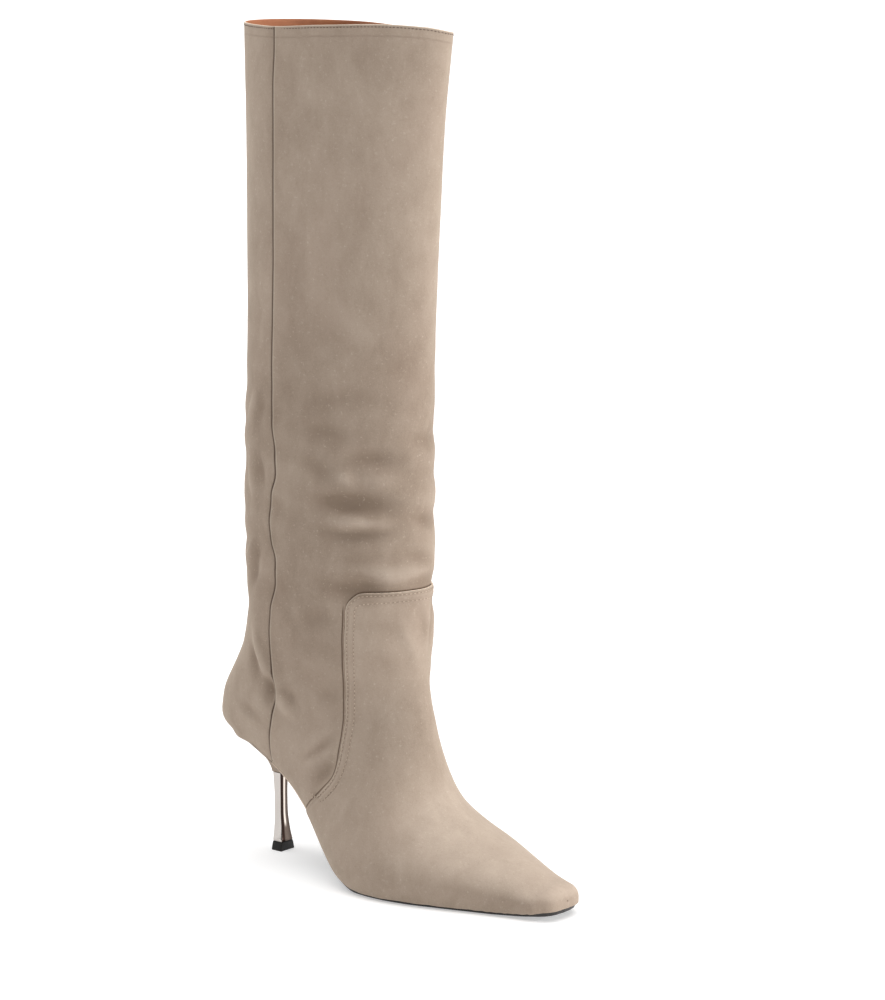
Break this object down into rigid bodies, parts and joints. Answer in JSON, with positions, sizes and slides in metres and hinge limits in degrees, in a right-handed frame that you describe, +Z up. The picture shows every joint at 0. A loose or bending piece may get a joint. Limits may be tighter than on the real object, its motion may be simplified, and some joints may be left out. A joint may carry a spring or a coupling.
{
  "type": "knee-high boot",
  "caption": "Knee-high pull-on suede boot with a lapped vamp, a blunt pointed toe and a slim metal stiletto heel.",
  "frame": {"origin": "on the floor, at the middle of the heel tip's face", "axes": "+Z up; +X towards the toe; +Y towards the inner side of the leg"},
  "size_m": [0.2307, 0.0832, 0.4466],
  "materials": {
    "suede": "taupe suede with a short nap",
    "lining": "smooth tan lining leather",
    "sole_edge": "black, waxed edge",
    "heel_metal": "polished, champagne tone",
    "tip_rubber": "matt black"
  },
  "bodies": {
    "root": {"upper": "suede", "vamp": "suede", "insole": "lining", "outsole": "sole_edge", "heel_block": "suede", "heel_stem": "heel_metal", "heel_tip": "tip_rubber"}
  },
  "joints": []
}
